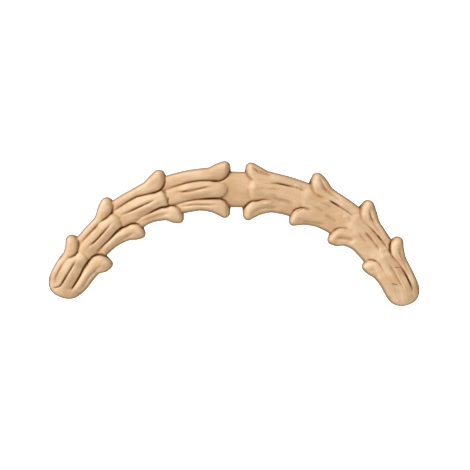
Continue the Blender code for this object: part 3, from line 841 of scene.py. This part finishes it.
class Shader:
    """The node tree of a material, with its surface shader."""

    def __init__(self, name):
        self.material = bpy.data.materials.new(name)
        self.material.use_nodes = True
        self.tree = self.material.node_tree
        self.surface = self.tree.nodes["Principled BSDF"]

    def node(self, kind, settings=None, inputs=None, output=0):
        """A new node: its settings first, then the values or links of its sockets."""
        node = self.tree.nodes.new(kind)
        for name, value in (settings or {}).items():
            setattr(node, name, value)
        for name, value in (inputs or {}).items():
            self.feed(node.inputs[name], value)
        return Value(self, node.outputs[output])

    def feed(self, socket, value):
        """Links a value to a socket, or sets the socket to a number, colour or vector."""
        if isinstance(value, Value):
            self.tree.links.new(value.socket, socket)
        else:
            socket.default_value = value

    def mix(self, factor, first, second):
        """The first colour where the factor is 0, the second where it is 1."""
        settings = {"data_type": "RGBA"}
        return self.node("ShaderNodeMix", settings, {0: factor, 6: first, 7: second}, output=2)

    def patterned(self, place, pattern):
        """The pattern's noise at the place, with each axis scaled by its own number."""
        stretched = self.node("ShaderNodeVectorMath", {"operation": "MULTIPLY"},
                              {0: place, 1: pattern.stretch})
        inputs = {"Vector": stretched, "Scale": pattern.scale, "Detail": pattern.detail,
                  "Distortion": pattern.distortion}
        return self.node("ShaderNodeTexNoise", None, inputs)

    def attribute(self, name):
        """The number that the mesh carries under this name."""
        return self.node("ShaderNodeAttribute", {"attribute_name": name}, output="Fac")


def opaque(colour_value):
    """The colour with an alpha of 1."""
    return (*colour_value, 1.0)


def wood_material(look):
    """Pale hardwood whose grain runs along X, darker on the late wood, with shade painted in the
    creases.

    The grain's tone is the sum of its patterns. Over it come the pores, the darker colour round the
    crown, the painted shade on the rim, the painted highlight on the crests, and the painted shade on
    the flanks and at the bottoms of the creases.
    """
    wood = Shader("pale_hardwood")
    place = wood.node("ShaderNodeTexCoord", output="Object")
    hollow = wood.attribute("hollow")
    figure, fibre = wood.patterned(place, FIGURE), wood.patterned(place, FIBRE)
    pore, blotch = wood.patterned(place, PORE), wood.patterned(place, BLOTCH)
    tone = figure * FIGURE.share + fibre * FIBRE.share + blotch * BLOTCH.share
    tone = tone.between(TONE_MIDDLE - TONE_SPREAD * look.grain, TONE_MIDDLE + TONE_SPREAD * look.grain)
    grain = wood.mix(tone, opaque(look.deep), opaque(look.pale))
    tint = wood.mix(look.grain, opaque(look.body), grain)
    tint = wood.mix(pore.between(*PORE_SPAN) * PORE.share, tint, opaque(look.deep))
    along = wood.node("ShaderNodeSeparateXYZ", None, {0: place})
    # The colour made darker round the crown, towards the late wood's colour
    crown = along.between(*CROWN_START) * (1 - along.between(*CROWN_FADE))
    tint = wood.mix(crown * look.crown_share, tint, opaque(look.deep))
    # Painted shade along the outline
    tint = wood.mix(wood.attribute("rim_shade") * look.rim_shade_share, tint, opaque(look.rim_shade))
    # Painted highlight on the crests, in the palest grain's colour
    tint = wood.mix(hollow.between(*CREST_HIGHLIGHT_SPAN) * look.crest_highlight_share, tint, opaque(look.pale))
    # Painted shade beside the creases
    tint = wood.mix(hollow.between(*FLANK_SHADE_SPAN) * look.flank_shade_share, tint, opaque(look.flank_shade))
    # Painted shade at the bottoms of the creases
    tint = wood.mix(hollow.between(*CREASE_SHADE_SPAN) * look.crease_share, tint, opaque(look.crease))
    wood.feed(wood.surface.inputs["Base Color"], tint)
    wood.feed(wood.surface.inputs["Roughness"], look.roughness + ROUGHNESS_SPREAD * (fibre - 0.5))
    relief = {"Strength": BUMP_STRENGTH, "Distance": BUMP_DISTANCE,
              "Height": fibre * FIBRE_RISE - pore * PORE_DEPTH}
    wood.feed(wood.surface.inputs["Normal"], wood.node("ShaderNodeBump", None, relief, output="Normal"))
    wood.surface.inputs["Specular IOR Level"].default_value = GLOSS
    return wood.material


def plain_material(name, colour_value, glow=0.0):
    """A matt material of one colour for the stage, which may glow."""
    shader = Shader(name)
    shader.surface.inputs["Base Color"].default_value = opaque(colour_value)
    shader.surface.inputs["Roughness"].default_value = STAGE_ROUGHNESS
    shader.surface.inputs["Emission Color"].default_value = opaque(colour_value)
    shader.surface.inputs["Emission Strength"].default_value = glow
    return shader.material


def plane(name, corners, material):
    """A flat face of the stage between four corners."""
    mesh = bpy.data.meshes.new(name)
    mesh.from_pydata(corners, [], [(0, 1, 2, 3)])
    mesh.materials.append(material)
    piece = bpy.data.objects.new(name, mesh)
    bpy.context.scene.collection.objects.link(piece)


def soft_light(name, place, side, power, tint):
    """A square area light at a place, turned to the middle of the frieze."""
    light = bpy.data.lights.new(name, "AREA")
    light.shape = "SQUARE"
    light.size = side
    light.energy = power
    light.color = tint
    lamp = bpy.data.objects.new(name, light)
    bpy.context.scene.collection.objects.link(lamp)
    lamp.location = place
    lamp.rotation_euler = (Vector(LIT_PLACE) - lamp.location).to_track_quat("-Z", "Y").to_euler()


class FRIEZE_OT_carve(bpy.types.Operator):
    """Makes the fine carved surface and its wood in place of the plain solid"""

    bl_idname = "frieze.carve"
    bl_label = "Carve the frieze"

    def execute(self, context):
        sizes, look = context.scene.frieze_sizes, context.scene.frieze_wood
        points, faces, grid_shape, attributes = frieze_surface(sizes)
        mesh = mesh_of("carved_frieze", points, faces, grid_shape)
        if not np.isfinite(points).all() or len(mesh.vertices) != len(points):
            raise RuntimeError("the carved surface has lost points, or has some that aren't finite")
        for name, values in attributes.items():
            mesh.attributes.new(name, "FLOAT", "POINT").data.foreach_set("value", values.ravel())
        mesh.materials.append(wood_material(look))
        piece = bpy.data.objects.new("carved_frieze", mesh)
        context.scene.collection.objects.link(piece)
        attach(piece, "root")
        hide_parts("frieze")
        return {"FINISHED"}


class FRIEZE_OT_stage(bpy.types.Operator):
    """Makes the floor, the backdrop, the lights and the camera"""

    bl_idname = "frieze.stage"
    bl_label = "Set the stage"

    def execute(self, context):
        look = context.scene.frieze_stage
        low, far = FLOOR_HEIGHT, STAGE_REACH
        plane("floor", [(-far, -far, low), (far, -far, low), (far, far, low), (-far, far, low)],
              plain_material("floor", look.floor))
        plane("backdrop", [(-far, far, low), (far, far, low), (far, far, far), (-far, far, far)],
              plain_material("backdrop", (1.0, 1.0, 1.0), look.backdrop))
        soft_light("key", KEY_PLACE, KEY_SIDE, look.key, KEY_COLOUR)
        soft_light("fill", FILL_PLACE, FILL_SIDE, look.fill, look.bounce)
        world = bpy.data.worlds.new("studio")
        world.use_nodes = True
        background = world.node_tree.nodes["Background"]
        background.inputs["Color"].default_value = opaque(look.bounce)
        background.inputs["Strength"].default_value = look.surround
        context.scene.world = world
        context.scene.view_settings.view_transform = "Standard"
        camera = bpy.data.cameras.new("camera")
        camera.sensor_width = SENSOR_WIDTH
        camera.lens = SENSOR_WIDTH * CAMERA_DISTANCE / (PHOTO_SIDE * METRES_PER_PIXEL)
        camera.clip_end = 4 * STAGE_REACH
        view = bpy.data.objects.new("camera", camera)
        context.scene.collection.objects.link(view)
        right = Vector((math.cos(PHOTO_TURN), 0.0, math.sin(PHOTO_TURN)))
        up = Vector((-math.sin(PHOTO_TURN), 0.0, math.cos(PHOTO_TURN)))
        aside = (PHOTO_SIDE / 2 - PHOTO_ORIGIN[0]) * METRES_PER_PIXEL
        above = (PHOTO_ORIGIN[1] - PHOTO_SIDE / 2) * METRES_PER_PIXEL
        towards_viewer = Vector((0.0, -1.0, 0.0))
        place = right * aside + up * above + towards_viewer * (CAMERA_DISTANCE + MIDDLE_DEPTH)
        turned = Matrix((right, up, towards_viewer)).transposed().to_4x4()
        view.matrix_world = Matrix.Translation(place) @ turned
        context.scene.camera = view
        return {"FINISHED"}


class FRIEZE_PT_panel(bpy.types.Panel):
    """Lists the operators and the settings."""

    bl_label = "Carved frieze"
    bl_space_type = "VIEW_3D"
    bl_region_type = "UI"
    bl_category = "Frieze"

    def draw(self, context):
        for operator in (FRIEZE_OT_carve, FRIEZE_OT_stage):
            self.layout.operator(operator.bl_idname)
        for group in GROUPS:
            box = self.layout.box()
            settings = getattr(context.scene, group)
            for name in settings.__annotations__:
                box.prop(settings, name)


CLASSES = (FriezeSizes, WoodLook, StageLook, FRIEZE_OT_carve, FRIEZE_OT_stage, FRIEZE_PT_panel)
GROUPS = {"frieze_sizes": FriezeSizes, "frieze_wood": WoodLook, "frieze_stage": StageLook}


def register():
    """Adds the classes to Blender, and their settings to its scenes."""
    for item in CLASSES:
        bpy.utils.register_class(item)
    for name, group in GROUPS.items():
        setattr(bpy.types.Scene, name, bpy.props.PointerProperty(type=group))


def unregister():
    """Takes the settings and the classes away again."""
    for name in GROUPS:
        delattr(bpy.types.Scene, name)
    for item in reversed(CLASSES):
        bpy.utils.unregister_class(item)


def main():
    """Makes the frieze and its stage."""
    register()
    bpy.ops.frieze.carve()
    bpy.ops.frieze.stage()


if __name__ == "__main__":
    main()
